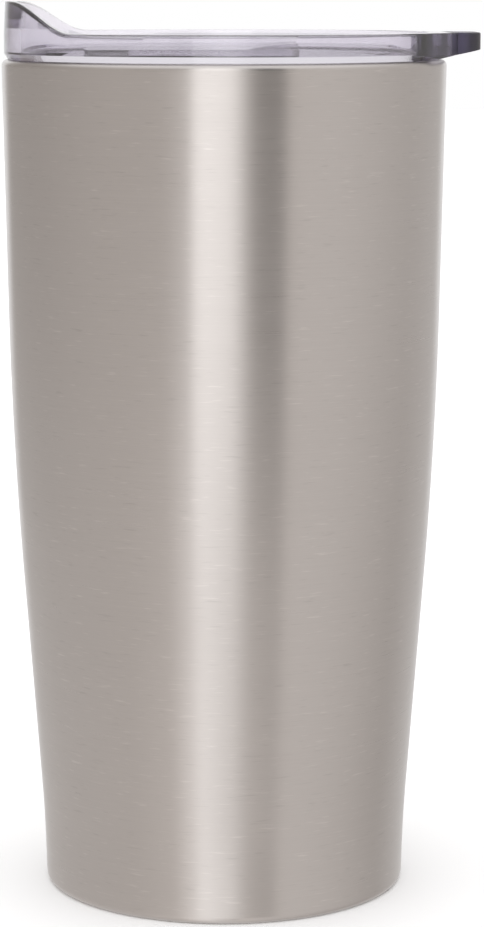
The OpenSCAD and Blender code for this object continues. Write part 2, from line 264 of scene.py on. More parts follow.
def settle(obj, material, sharp=SHARP):
    """Turns faces outwards, smooths them, keeps sharp edges sharp, and sets the material."""
    bm = bmesh.new()
    bm.from_mesh(obj.data)
    bmesh.ops.remove_doubles(bm, verts=bm.verts, dist=1e-7)
    bmesh.ops.recalc_face_normals(bm, faces=bm.faces)
    bm.to_mesh(obj.data)
    bm.free()
    obj.data.shade_smooth()
    obj.data.set_sharp_from_angle(angle=sharp)
    modifier = obj.modifiers.new("Flat faces", "WEIGHTED_NORMAL")
    modifier.weight = 90
    modifier.keep_sharp = True
    apply_modifiers(obj)
    obj.data.materials.clear()
    obj.data.materials.append(material)
    return obj


def apply_modifiers(obj):
    """Replaces the object's mesh with the result of its modifiers."""
    graph = bpy.context.evaluated_depsgraph_get()
    graph.update()
    mesh = bpy.data.meshes.new_from_object(obj.evaluated_get(graph))
    old = obj.data
    obj.modifiers.clear()
    obj.data = mesh
    bpy.data.meshes.remove(old)
    return obj


def combine(obj, other, operation):
    """Adds another closed mesh to this one or cuts it away."""
    modifier = obj.modifiers.new("Combine", "BOOLEAN")
    modifier.operation = operation
    modifier.solver = "EXACT"
    modifier.object = other
    apply_modifiers(obj)
    drop(other)
    return obj


def soften(obj, width, segments=3, limit=40):
    """Rounds the edges that are sharper than a limit."""
    modifier = obj.modifiers.new("Soften", "BEVEL")
    modifier.width = width
    modifier.segments = segments
    modifier.limit_method = "ANGLE"
    modifier.angle_limit = radians(limit)
    return apply_modifiers(obj)


def prism(name, outline, low, high):
    """A closed upright prism on an outline of (x, y) points."""
    bm = bmesh.new()
    bottom = [bm.verts.new((x, y, low)) for x, y in outline]
    top = [bm.verts.new((x, y, high)) for x, y in outline]
    bm.faces.new(bottom)
    bm.faces.new(top)
    for i in range(len(outline)):
        k = (i + 1) % len(outline)
        bm.faces.new((bottom[i], bottom[k], top[k], top[i]))
    bmesh.ops.recalc_face_normals(bm, faces=bm.faces)
    mesh = bpy.data.meshes.new(name)
    bm.to_mesh(mesh)
    bm.free()
    return link(name, mesh)


def bar(name, side, half_width):
    """A closed prism across Y on a side view of (x, z) points."""
    obj = prism(name, side, -half_width, half_width)
    for v in obj.data.vertices:
        v.co = (v.co.x, v.co.z, v.co.y)
    bm = bmesh.new()
    bm.from_mesh(obj.data)
    bmesh.ops.recalc_face_normals(bm, faces=bm.faces)
    bm.to_mesh(obj.data)
    bm.free()
    return obj


class Tree:
    """A small helper that adds nodes to a tree and links them."""

    def __init__(self, tree):
        self.tree = tree

    def add(self, kind, inputs=None, **settings):
        """Adds a node. Inputs are values, or output sockets to link."""
        node = self.tree.nodes.new(kind)
        for key, value in settings.items():
            setattr(node, key, value)
        for key, value in (inputs or {}).items():
            if isinstance(value, bpy.types.NodeSocket):
                self.tree.links.new(value, node.inputs[key])
            else:
                node.inputs[key].default_value = value
        return node

    def blend(self, factor, a, b):
        """A colour between two colours, each a value or an output socket."""
        return self.add("ShaderNodeMix", {0: factor, 6: a, 7: b}, data_type="RGBA").outputs[2]

    def maths(self, operation, a, b=0.0, c=0.0):
        """A Math node's result."""
        return self.add("ShaderNodeMath", {0: a, 1: b, 2: c}, operation=operation).outputs[0]


def sockets(tree, way, **kinds):
    """Gives a node group its inputs or outputs, as name and kind."""
    for name, kind in kinds.items():
        tree.interface.new_socket(name, in_out=way, socket_type="NodeSocket" + kind)


def turning_tree():
    """The Geometry Nodes tree that turns a line of (radius, 0, height) points about Z."""
    name = "Turned piece"
    if name in bpy.data.node_groups:
        return bpy.data.node_groups[name]
    tree = bpy.data.node_groups.new(name, "GeometryNodeTree")
    tree.is_modifier = True
    sockets(tree, "INPUT", Profile="Geometry", Steps="Int", Centre="Vector", Material="Material")
    sockets(tree, "OUTPUT", Geometry="Geometry")
    t = Tree(tree)
    given = t.add("NodeGroupInput").outputs
    count = t.add("GeometryNodeAttributeDomainSize", {0: given["Profile"]}).outputs["Point Count"]
    columns = t.maths("ADD", given["Steps"], 1)
    grid = t.add("GeometryNodeMeshGrid", {"Vertices X": columns, "Vertices Y": count})
    index = t.add("GeometryNodeInputIndex").outputs[0]
    column = t.maths("FLOOR", t.maths("DIVIDE", t.maths("ADD", index, 0.5), count))
    row = t.maths("SUBTRACT", index, t.maths("MULTIPLY", column, count))
    place = t.add("GeometryNodeInputPosition").outputs[0]
    sample = t.add(
        "GeometryNodeSampleIndex",
        {"Geometry": given["Profile"], "Value": place, "Index": row},
        data_type="FLOAT_VECTOR",
    )
    split = t.add("ShaderNodeSeparateXYZ", {0: sample.outputs[0]}).outputs
    turn = t.maths("DIVIDE", t.maths("MULTIPLY", column, 2 * pi), given["Steps"])
    x = t.maths("MULTIPLY", split["X"], t.maths("COSINE", turn))
    y = t.maths("MULTIPLY", split["X"], t.maths("SINE", turn))
    ring = t.add("ShaderNodeCombineXYZ", {"X": x, "Y": y, "Z": split["Z"]}).outputs[0]
    moved = t.add("ShaderNodeVectorMath", {0: ring, 1: given["Centre"]}, operation="ADD").outputs[0]
    placed = t.add("GeometryNodeSetPosition", {"Geometry": grid.outputs[0], "Position": moved})
    merged = t.add("GeometryNodeMergeByDistance", {"Geometry": placed.outputs[0], "Distance": 1e-6})
    real = t.add("GeometryNodeRealizeInstances", {0: merged.outputs[0]})
    painted = t.add(
        "GeometryNodeSetMaterial", {"Geometry": real.outputs[0], "Material": given["Material"]}
    )
    t.add("NodeGroupOutput", {"Geometry": painted.outputs[0]})
    return tree


def turned(name, profile, material, steps=256, centre=(0, 0, 0)):
    """A solid of revolution of a line of (radius, height) points, as a plain mesh."""
    line = bpy.data.meshes.new(name + "_line")
    edges = [(i, i + 1) for i in range(len(profile) - 1)]
    line.from_pydata([(r, 0, z) for r, z in profile], edges, [])
    obj = link(name, line)
    modifier = obj.modifiers.new("Turned piece", "NODES")
    modifier.node_group = turning_tree()
    values = {"Steps": steps, "Centre": centre, "Material": material}
    for item in modifier.node_group.interface.items_tree:
        if item.in_out == "INPUT" and item.name in values:
            modifier[item.identifier] = values[item.name]
    apply_modifiers(obj)
    return settle(obj, material)


def rectangle(low_x, high_x, half_width):
    """The outline of a rectangle that the X axis halves."""
    return [(low_x, -half_width), (high_x, -half_width), (high_x, half_width), (low_x, half_width)]


def closed(points):
    """The same outline with its first point repeated at the end."""
    return points + [points[0]]


def show(obj, body, slot, *nodes):
    """Rides a piece on its body and hides the CAD nodes it stands for; the slot is not used."""
    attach(obj, body)
    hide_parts(*nodes)
    return obj


# ---------------------------------------------------------------- shader groups


def brushing_group():
    """Fine lines along one direction, as brushing and spinning leave them.

    Bands are wide groups of lines, and Nicks are short and sparse.
    """
    name = "Brushing"
    if name in bpy.data.node_groups:
        return bpy.data.node_groups[name]
    tree = bpy.data.node_groups.new(name, "ShaderNodeTree")
    sizes = {"Lines per metre": "Float", "Streak length": "Float"}
    sockets(tree, "INPUT", Along="Vector", Across="Float", **sizes)
    sockets(tree, "OUTPUT", Lines="Float", Bands="Float", Nicks="Float")
    t = Tree(tree)
    given = t.add("NodeGroupInput").outputs
    rate = t.maths("DIVIDE", 1.0, given["Streak length"])

    def scaled(vector, scale):
        return t.add("ShaderNodeVectorMath", {0: vector, "Scale": scale}, operation="SCALE").outputs[0]

    streaks = scaled(given["Along"], rate)

    def noise(density, detail, shorter=1.0):
        split = t.add("ShaderNodeSeparateXYZ", {0: scaled(streaks, shorter)}).outputs
        lines = t.maths("MULTIPLY", given["Across"], density)
        vector = t.add("ShaderNodeCombineXYZ", {"X": split["X"], "Y": split["Y"], "Z": lines})
        return t.add(
            "ShaderNodeTexNoise",
            {"Vector": vector.outputs[0], "Scale": 1.0, "Detail": detail, "Roughness": 0.65},
        ).outputs[0]

    fine = noise(given["Lines per metre"], 3.0)
    wide = noise(t.maths("MULTIPLY", given["Lines per metre"], 0.06), 2.0)
    short = noise(t.maths("MULTIPLY", given["Lines per metre"], 0.45), 1.0, 8.0)
    t.add("NodeGroupOutput", {"Lines": fine, "Bands": wide, "Nicks": short})
    return tree


def handling_group():
    """Soft smudges and a few specks, as handling leaves them on a glossy surface."""
    name = "Handling marks"
    if name in bpy.data.node_groups:
        return bpy.data.node_groups[name]
    tree = bpy.data.node_groups.new(name, "ShaderNodeTree")
    sockets(tree, "INPUT", Vector="Vector", Size="Float")
    sockets(tree, "OUTPUT", Smudges="Float", Specks="Float")
    t = Tree(tree)
    given = t.add("NodeGroupInput").outputs
    rate = t.maths("DIVIDE", 1.0, given["Size"])
    cloud = t.add(
        "ShaderNodeTexNoise",
        {"Vector": given["Vector"], "Scale": rate, "Detail": 4.0, "Roughness": 0.6, "Distortion": 0.4},
    ).outputs[0]
    smudges = t.add(
        "ShaderNodeMapRange",
        {"Value": cloud, "From Min": 0.45, "From Max": 0.75},
        interpolation_type="SMOOTHSTEP",
    ).outputs[0]
    dots = t.add(
        "ShaderNodeTexVoronoi",
        {"Vector": given["Vector"], "Scale": t.maths("MULTIPLY", rate, 6.0)},
    ).outputs["Distance"]
    specks = t.add("ShaderNodeMapRange", {"Value": dots, "From Min": 0.07, "From Max": 0.03})
    t.add("NodeGroupOutput", {"Smudges": smudges, "Specks": specks.outputs[0]})
    return tree


def new_material(name):
    """A material with a Principled shader, as (material, tree helper, shader node)."""
    material = bpy.data.materials.new(name)
    material.use_nodes = True
    return material, Tree(material.node_tree), material.node_tree.nodes["Principled BSDF"]


def spread(t, value, low, high):
    """A value from 0 to 1, spread from low to high."""
    return t.add("ShaderNodeMapRange", {"Value": value, "To Min": low, "To Max": high}).outputs[0]


# Where in the noise a nick starts and is full, and how it changes the steel's colour.
BRIGHT_AND_DULL_NICKS = ((0.64, 0.8, 1.12), (0.36, 0.2, 0.9))


def steel_material(name, tint, roughness, anisotropy, flat=False, lines=5200, streak=0.035,
                   depth=0.00002):
    """Steel that is brushed round its axis. On a flat disc the lines are rings.

    There are that many lines per metre, a streak's length and a line's depth are in metres.
    """
    material, t, shader = new_material(name)
    place = t.add("ShaderNodeTexCoord").outputs["Object"]
    split = t.add("ShaderNodeSeparateXYZ", {0: place}).outputs
    if flat:
        level = t.add("ShaderNodeCombineXYZ", {"X": split["X"], "Y": split["Y"]}).outputs[0]
        across = t.add("ShaderNodeVectorMath", {0: level}, operation="LENGTH").outputs["Value"]
    else:
        across = split["Z"]
    brush = t.add("ShaderNodeGroup", {}, node_tree=brushing_group())
    t.tree.links.new(place, brush.inputs["Along"])
    t.tree.links.new(across, brush.inputs["Across"])
    brush.inputs["Lines per metre"].default_value = lines
    brush.inputs["Streak length"].default_value = streak
    marks = t.add("ShaderNodeGroup", {}, node_tree=handling_group())
    t.tree.links.new(place, marks.inputs["Vector"])
    marks.inputs["Size"].default_value = 0.03
    dark = [0.94 * c for c in tint] + [1]
    light = [min(1, 1.05 * c) for c in tint] + [1]
    shade = t.blend(brush.outputs["Lines"], dark, light)
    for start, full, strength in BRIGHT_AND_DULL_NICKS:
        nicks = t.add(
            "ShaderNodeMapRange",
            {"Value": brush.outputs["Nicks"], "From Min": start, "From Max": full},
        ).outputs[0]
        shade = t.blend(nicks, shade, [min(1, strength * c) for c in tint] + [1])
    t.tree.links.new(shade, shader.inputs["Base Color"])
    shader.inputs["Metallic"].default_value = 1.0
    grain = spread(t, brush.outputs["Lines"], roughness - 0.05, roughness + 0.05)
    banded = t.maths("MULTIPLY_ADD", brush.outputs["Bands"], 0.05, grain)
    handled = t.maths("MULTIPLY_ADD", marks.outputs["Smudges"], 0.025, banded)
    t.tree.links.new(handled, shader.inputs["Roughness"])
    shader.inputs["Anisotropic"].default_value = anisotropy
    shader.inputs["Anisotropic Rotation"].default_value = 0.25
    tangent = t.add("ShaderNodeTangent", direction_type="RADIAL", axis="Z")
    t.tree.links.new(tangent.outputs[0], shader.inputs["Tangent"])
    bump = t.add(
        "ShaderNodeBump", {"Strength": 0.25, "Distance": depth, "Height": brush.outputs["Lines"]}
    )
    t.tree.links.new(bump.outputs[0], shader.inputs["Normal"])
    return material


def clear_material(name, passes, density, tab=None, gloss=0.015, haze=0.025):
    """Clear moulded plastic with a faint smoky tint, polished, with faint handling marks.

    The haze is the share of the light that is scattered and not passed. Over the pull tab,
    which starts between the two distances from the axis in tab, the tint is painted deeper as
    painted shade for the tab's dark slate look, and the face is finely textured for grip.
    """
    material, t, shader = new_material(name)
    place = t.add("ShaderNodeTexCoord").outputs["Object"]
    marks = t.add("ShaderNodeGroup", {}, node_tree=handling_group())
    t.tree.links.new(place, marks.inputs["Vector"])
    marks.inputs["Size"].default_value = 0.012
    flow = t.add(
        "ShaderNodeTexNoise", {"Vector": place, "Scale": 60.0, "Detail": 1.0, "Roughness": 0.5}
    ).outputs[0]
    tint = t.blend(flow, (0.955, 0.945, 0.97, 1), (0.985, 0.975, 0.995, 1))
    if tab:
        reach = t.add("ShaderNodeSeparateXYZ", {0: place}).outputs["X"]
        # A mask over the pull tab, which carries painted shade into the tint and extra roughness for
        # grip.
        tab_shade_and_grip = t.add(
            "ShaderNodeMapRange", {"Value": reach, "From Min": tab[0], "From Max": tab[1]},
            interpolation_type="SMOOTHSTEP",
        ).outputs[0]
        # Painted shade: a deeper slate tint over the pull tab.
        tint = t.blend(tab_shade_and_grip, tint, (0.34, 0.33, 0.43, 1))
    t.tree.links.new(tint, shader.inputs["Base Color"])
    smudged = spread(t, marks.outputs["Smudges"], gloss, gloss + 0.035)
    if tab:
        smudged = t.maths("MULTIPLY_ADD", tab_shade_and_grip, 0.35, smudged)
    t.tree.links.new(
        t.maths("MULTIPLY_ADD", marks.outputs["Specks"], 0.08, smudged), shader.inputs["Roughness"]
    )
    shader.inputs["Transmission Weight"].default_value = 1.0 - haze
    shader.inputs["IOR"].default_value = 1.54
    bump = t.add("ShaderNodeBump", {"Strength": 0.1, "Distance": 0.00001, "Height": flow})
    t.tree.links.new(bump.outputs[0], shader.inputs["Normal"])
    inside = t.add("ShaderNodeVolumeAbsorption", {"Color": (*passes, 1), "Density": density})
    output = material.node_tree.nodes["Material Output"]
    t.tree.links.new(inside.outputs[0], output.inputs["Volume"])
    return material


def soft_material(name, tint, roughness=0.48, clear=0.0, ior=1.45):
    """Silicone or another dull moulded stuff, with a fine grain and soft smudges."""
    material, t, shader = new_material(name)
    place = t.add("ShaderNodeTexCoord").outputs["Object"]
    marks = t.add("ShaderNodeGroup", {}, node_tree=handling_group())
    t.tree.links.new(place, marks.inputs["Vector"])
    marks.inputs["Size"].default_value = 0.008
    grain = t.add(
        "ShaderNodeTexNoise", {"Vector": place, "Scale": 2500.0, "Detail": 2.0}
    ).outputs[0]
    shade = t.blend(marks.outputs["Smudges"], (*tint, 1), (*[0.88 * c for c in tint], 1))
    t.tree.links.new(shade, shader.inputs["Base Color"])
    t.tree.links.new(spread(t, grain, roughness - 0.06, roughness + 0.06), shader.inputs["Roughness"])
    shader.inputs["Transmission Weight"].default_value = clear
    shader.inputs["IOR"].default_value = ior
    bump = t.add("ShaderNodeBump", {"Strength": 0.2, "Distance": 0.00003, "Height": grain})
    t.tree.links.new(bump.outputs[0], shader.inputs["Normal"])
    return material


# ---------------------------------------------------------------- the steel body


class BodyPlan:
    """Radii and heights of the steel body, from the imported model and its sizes."""

    def __init__(self, s):
        self.s = s
        shell_hi, liner_lo, liner_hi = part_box("outer_shell")[1], *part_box("inner_liner")
        self.height = shell_hi.z
        self.rim_r = shell_hi.x
        self.weld_r = liner_hi.x
        self.bore_r = self.weld_r - s.lip_round
        self.crown_r = self.rim_r - s.rim_round
        self.floor_z = liner_lo.z + s.liner_t
        self.stand_r = s.foot_radius - s.foot_round - s.stand_w
        self.shoulder_r = self.rim_r - (self.height - s.shoulder_z) * tan(s.upper_draft)
        self.waist_r = s.foot_radius + s.waist_z * tan(s.foot_draft)
        self.lip_centre = (self.weld_r, self.height - s.lip_round)

    def wall(self, inset):
        """The outer wall from the foot to the rim, moved in."""
        s = self.s
        foot = (s.foot_radius - inset, 0)
        waist = (self.waist_r - inset, s.waist_z)
        shoulder = (self.shoulder_r - inset, s.shoulder_z)
        mouth = (self.rim_r - inset, self.height)
        return bend(foot, waist, shoulder, s.waist_bend) + bend(waist, shoulder, mouth, s.shoulder_bend)

    def shell(self):
        """The shell's section: foot, wall and rolled rim, outside then inside."""
        s = self.s
        foot_c = (s.foot_radius - s.foot_round, s.foot_round)
        rim_c = (self.crown_r, self.height - s.rim_round)
        t = s.shell_t
        outside = [(self.stand_r, 0)] + arc(foot_c, s.foot_round, -90, 0) + self.wall(0)
        outside += arc(rim_c, s.rim_round, 0, 90, 10) + [(self.weld_r, self.height)]
        inside = [(self.weld_r, self.height - t)] + arc(rim_c, s.rim_round - t, 90, 0)
        inside += self.wall(t)[::-1] + arc(foot_c, s.foot_round - t, 0, -90) + [(self.stand_r, t)]
        return closed(outside + inside)

    def liner_side(self, out):
        """The liner's wall from its floor to its lip, moved out."""
        s = self.s
        floor_c = (s.floor_radius - s.floor_round, self.floor_z + s.floor_round)
        foot = (s.floor_radius + out, floor_c[1])
        seat = (self.bore_r + out, self.height - s.seat_depth)
        lip = (self.bore_r + out, self.lip_centre[1])
        return arc(floor_c, s.floor_round + out, -90, 0, 14) + bend(foot, seat, lip, s.seat_bend)

    def liner(self):
        """The liner's section: inside from the floor to the lip, then outside."""
        s = self.s
        inside = [(0, self.floor_z)] + self.liner_side(0) + arc(self.lip_centre, s.lip_round, 180, 90)
        outside = arc(self.lip_centre, s.lip_round - s.liner_t, 90, 180)
        outside += self.liner_side(s.liner_t)[::-1] + [(0, self.floor_z - s.liner_t)]
        return inside + outside


class TUMBLER_OT_shell(bpy.types.Operator):
    """Makes the brushed outer shell"""

    bl_idname = "tumbler.shell"
    bl_label = "Outer shell"

    def execute(self, context):
        s = context.scene.tumbler_body
        steel = steel_material("Brushed steel", s.steel, s.roughness, s.anisotropy)
        piece = turned("shell", BodyPlan(s).shell(), steel, steps=320)
        show(piece, "tumbler", "shell_steel", "outer_shell")
        return {"FINISHED"}


class TUMBLER_OT_liner(bpy.types.Operator):
    """Makes the polished liner"""

    bl_idname = "tumbler.liner"
    bl_label = "Liner"

    def execute(self, context):
        s = context.scene.tumbler_body
        steel = steel_material(
            "Polished steel", s.liner_steel, 0.2, 0.45, lines=2600, streak=0.06, depth=0.00001
        )
        piece = turned("liner", BodyPlan(s).liner(), steel, steps=256)
        show(piece, "tumbler", "liner_steel", "inner_liner")
        return {"FINISHED"}


class TUMBLER_OT_base(bpy.types.Operator):
    """Gives the base plate, its cover and the sealed inner pieces their finishes"""

    bl_idname = "tumbler.base"
    bl_label = "Base"

    def execute(self, context):
        s = context.scene.tumbler_body
        spun = steel_material("Spun steel", s.steel, 0.3, 0.5, flat=True, lines=3000, streak=0.02)
        seal = soft_material("Seal glass", (0.06, 0.055, 0.05), 0.3)
        getter = soft_material("Getter alloy", (0.2, 0.2, 0.21), 0.6)
        finishes = {
            "outer_base": spun,
            "base_cover": spun,
            "getter_clip": spun,
            "vacuum_seal": seal,
            "getter_pellet": getter,
        }
        for node, material in finishes.items():
            slots = frame["nodes"][node].material_slots
            if not slots:
                raise RuntimeError(f"{node} has no material slot")
            slots[0].material = material
        return {"FINISHED"}


# ---------------------------------------------------------------- the lid


# Length over which the flange's edge turns into the tab's.
TAB_ROOT = 1.2 * MM


class LidPlan:
    """Radii and heights of the lid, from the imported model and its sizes."""

    def __init__(self, body, s):
        self.body, self.s = body, s
        low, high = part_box("lid_body")
        self.flange_r = high.y
        self.skirt_z = low.z
        self.lip_top = high.z
        self.tab_x = high.x
        self.flange_z = body.height + s.flange_lift
        self.top = self.flange_z + s.flange_h
        self.rise = self.lip_top - self.top
        self.deck_top = self.top - s.deck_drop
        self.deck_z = self.deck_top - s.deck_t
        self.foot_r = self.flange_r - s.flange_wall
        self.knee_z = self.top + s.knee_rise
        self.crest_r = self.flange_r - s.lip_lean
        self.plug_r = body.bore_r - s.plug_gap
        self.groove_r = self.plug_r - s.groove_depth
        self.skirt_r = self.groove_r - s.skirt_t
        gasket_lo, gasket_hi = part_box("lid_gasket")
        gap = body.bore_r - gasket_hi.x
        self.groove = (gasket_lo.z - gap, gasket_hi.z + gap)
        self.tab_polar = self.tab_outline()

    def tab_outline(self):
        """The tab's outline from above as matching lists of angles and radii."""
        s = self.s
        a = s.tab_angle
        start = Vector((cos(a), sin(a))) * self.flange_r
        knee = start + Vector((sin(a), -cos(a))) * (self.tab_x - start.x)
        corner = (self.tab_x - s.tab_round, s.tab_w / 2 - s.tab_round)
        end = Vector((corner[0], s.tab_w / 2))
        flank = []
        for i in range(40):
            t = i / 40
            flank.append(tuple((1 - t) ** 2 * start + 2 * t * (1 - t) * knee + t * t * end))
        line = flank + arc(corner, s.tab_round, 90, 0, 24) + [(self.tab_x, 0)]
        angles = [atan2(y, x) for x, y in line][::-1]
        radii = [hypot(x, y) for x, y in line][::-1]
        return angles, radii

    def rim_radius(self, turn):
        """The lid's outer radius at an angle from +X: the flange, or the tab past it."""
        a = abs(atan2(sin(turn), cos(turn)))
        return self.flange_r if a > self.s.tab_angle else float(np.interp(a, *self.tab_polar))

    def height(self, x):
        """Height of the wall's top: the flange, and the lip's S-curve above it."""
        s = self.s
        t = (x + self.flange_r - s.lip_start) / s.lip_run
        return self.top + self.rise * ease(1 - t)

    def inner(self, z):
        """The inner radius of the wall at a height: a small draft, then the lip's lean."""
        s = self.s
        knee_r = self.foot_r + (self.knee_z - self.deck_top) * tan(s.wall_draft)
        if z <= self.knee_z:
            return self.foot_r + (z - self.deck_top) * tan(s.wall_draft)
        lean = (self.crest_r - s.lip_crest - knee_r) / (self.lip_top - self.knee_z)
        return knee_r + lean * (z - self.knee_z)

    def section(self, turn):
        """The lid's section at an angle from +X, from the deck's top round to its underside."""
        s, b = self.s, self.body
        c = cos(turn)
        outer = self.rim_radius(turn)
        inner_z = self.height((self.foot_r + 0.0005) * c)
        knee_z = min(self.knee_z, inner_z - 0.0008)
        outer_z = self.height(self.flange_r * c)
        lean = s.lip_lean * (outer_z - self.top) / self.rise
        tab = ease((outer - self.flange_r) / TAB_ROOT)
        under = b.height + s.tab_gap
        reach = (outer * c - self.crown()) / (self.tab_x - self.crown())
        tab_z = under + (self.top - s.tab_t - under) * max(0.0, reach)
        corner_z = self.flange_z + (tab_z - self.flange_z) * tab
        neck = 0.3 * (1 - tab)
        neck_r = b.crown_r + neck * (self.flange_r - b.crown_r) + 0.2 * MM * tab
        neck_z = b.height + s.seat_gap + neck * s.flange_lift + (s.tab_gap - s.seat_gap) * tab
        corners = [
            (0, self.deck_top, 0),
            (self.foot_r, self.deck_top, 0.0008),
            (self.inner(knee_z), knee_z, 0.0003),
            (self.inner(inner_z), inner_z, s.edge),
            (outer - lean, outer_z, s.edge),
            (outer, min(self.top, outer_z - 0.001) - 0.0002, 0.0002),
            (outer, corner_z, 0.5 * s.edge),
            (neck_r, neck_z, 0),
            (b.crown_r, b.height + s.seat_gap, 0),
        ]
        lip = arc(b.lip_centre, b.s.lip_round + s.seat_gap, 90, 180, 6)
        low, high = self.groove
        plug = [
            (*lip[-1], 0),
            (self.plug_r, b.height - b.s.lip_round - s.plug_gap, 0),
            (self.plug_r, high, 0.0001),
            (self.groove_r, high, 0.0002),
            (self.groove_r, low, 0.0002),
            (self.plug_r, low, 0.0001),
            (self.plug_r, self.skirt_z, 0.0007),
            (self.skirt_r, self.skirt_z, 0.0004),
            (self.skirt_r, self.deck_z, 0.0006),
            (0, self.deck_z, 0),
        ]
        return fillet(corners) + lip[:-1] + fillet(plug)

    def crown(self):
        """Where the tab's underside starts to rise."""
        return self.body.crown_r - TAB_ROOT


def lofted(name, plan):
    """The lid's mesh: its sections, joined all the way round."""
    fine = np.concatenate([
        np.arange(-40, 40, 0.5), np.arange(40, 110, 1.0), np.arange(110, 250, 0.5),
        np.arange(250, 320, 1.0),
    ])
    rings = [[(r * cos(a), r * sin(a), z) for r, z in plan.section(a)] for a in np.radians(fine)]
    count = len(rings[0])
    vertices = [v for ring in rings for v in ring]
    faces = []
    for i in range(len(rings)):
        a, b = i * count, (i + 1) % len(rings) * count
        for k in range(count - 1):
            faces.append((a + k, b + k, b + k + 1, a + k + 1))
    mesh = bpy.data.meshes.new(name)
    mesh.from_pydata(vertices, [], faces)
    bm = bmesh.new()
    bm.from_mesh(mesh)
    bmesh.ops.remove_doubles(bm, verts=bm.verts, dist=1e-6)
    bmesh.ops.dissolve_degenerate(bm, edges=bm.edges, dist=1e-7)
    bmesh.ops.recalc_face_normals(bm, faces=bm.faces)
    bm.to_mesh(mesh)
    bm.free()
    return link(name, mesh)


def drink_outline(plan):
    """The drink hole's outline, whose outer edge follows the skirt."""
    s = plan.s
    r = plan.skirt_r - 0.0002
    a = np.degrees(np.arcsin(s.drink_w / 2 / r))
    x = -r + s.drink_l
    return arc((0, 0), r, 180 - a, 180 + a, 16) + [(x, -s.drink_w / 2), (x, s.drink_w / 2)]


class TUMBLER_OT_lid(bpy.types.Operator):
    """Makes the clear lid with its drinking lip, pull tab and holes"""

    bl_idname = "tumbler.lid"
    bl_label = "Lid"

    def execute(self, context):
        s = context.scene.tumbler_lid
        plan = LidPlan(BodyPlan(context.scene.tumbler_body), s)
        piece = lofted("lid", plan)
        low, high = plan.deck_z - MM, plan.deck_top + MM
        clip_lo, clip_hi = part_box("slider_clip")
        travel = frame["joints"][-1]["range_m"][1]
        margin = s.clip_margin - s.slot_play
        slot = rectangle(clip_lo.x + margin - travel, clip_hi.x - margin, s.leg_w / 2 + s.slot_play)
        hole = arc((s.air_hole_x, 0), s.air_hole_r, 0, 360, 40)[:-1]
        for outline in (drink_outline(plan), slot, hole):
            combine(piece, prism("cutter", outline, low, high), "DIFFERENCE")
        tab = (plan.flange_r - 0.0002, plan.flange_r + 0.001)
        settle(piece, clear_material("Clear plastic", s.absorption, s.density, tab))
        show(piece, "lid", "lid_plastic", "lid_body")
        return {"FINISHED"}


class TUMBLER_OT_gasket(bpy.types.Operator):
    """Makes the silicone ring with its three fins"""

    bl_idname = "tumbler.gasket"
    bl_label = "Gasket"

    def execute(self, context):
        s = context.scene.tumbler_lid
        plan = LidPlan(BodyPlan(context.scene.tumbler_body), s)
        low, high = (v.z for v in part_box("lid_gasket"))
        fin_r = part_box("lid_gasket")[1].x
        inner = plan.groove_r + (plan.body.bore_r - fin_r)
        pitch = (high - low) / 3
        corners = [(inner, low, 0), (plan.plug_r - 0.0002, low, 0.0001)]
        for i in range(3):
            corners += [
                (plan.plug_r, low + (i + 0.1) * pitch, 0.0002),
                (fin_r, low + (i + 0.42) * pitch, 0.0002),
                (fin_r, low + (i + 0.58) * pitch, 0.0002),
                (plan.plug_r, low + (i + 0.9) * pitch, 0.0002),
            ]
        corners += [(plan.plug_r - 0.0002, high, 0.0001), (inner, high, 0)]
        silicone = soft_material("Silicone", s.silicone, 0.25, clear=0.9, ior=1.41)
        piece = turned("gasket", closed(fillet(corners)), silicone)
        show(piece, "gasket", "silicone", "lid_gasket")
        return {"FINISHED"}


class SliderPlan:
    """The slider's outlines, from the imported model, in its open place."""

    def __init__(self, plan):
        s = self.s = plan.s
        self.low, self.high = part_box("slider")
        self.clip_lo, self.clip_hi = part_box("slider_clip")
        self.pad_lo, self.pad_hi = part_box("slider_pad")
        self.travel = frame["joints"][-1]["range_m"][1]
        self.front_r = self.travel - self.low.x
        bottom = plan.deck_top + s.deck_gap
        self.plate_z = (bottom, bottom + s.plate_t)
        margin = s.clip_margin + s.leg_l / 2
        self.legs = (self.clip_lo.x + margin, self.clip_hi.x - margin)

    def leg(self, x, gap=0.0):
        """A leg's outline, or that of the hole round it."""
        half = self.s.leg_l / 2 + gap
        return rectangle(x - half, x + half, self.s.leg_w / 2 + gap)

    def plate(self, back, half, radius, inset=0.0):
        """An outline with an arc at its front and round corners at its back."""
        r = self.front_r - inset
        a = np.degrees(np.arcsin(half / r))
        front = arc((self.travel, 0), r, 180 - a, 180 + a, 16)
        return front + arc((back - radius, -half + radius), radius, -90, 0) + arc(
            (back - radius, half - radius), radius, 0, 90
        )


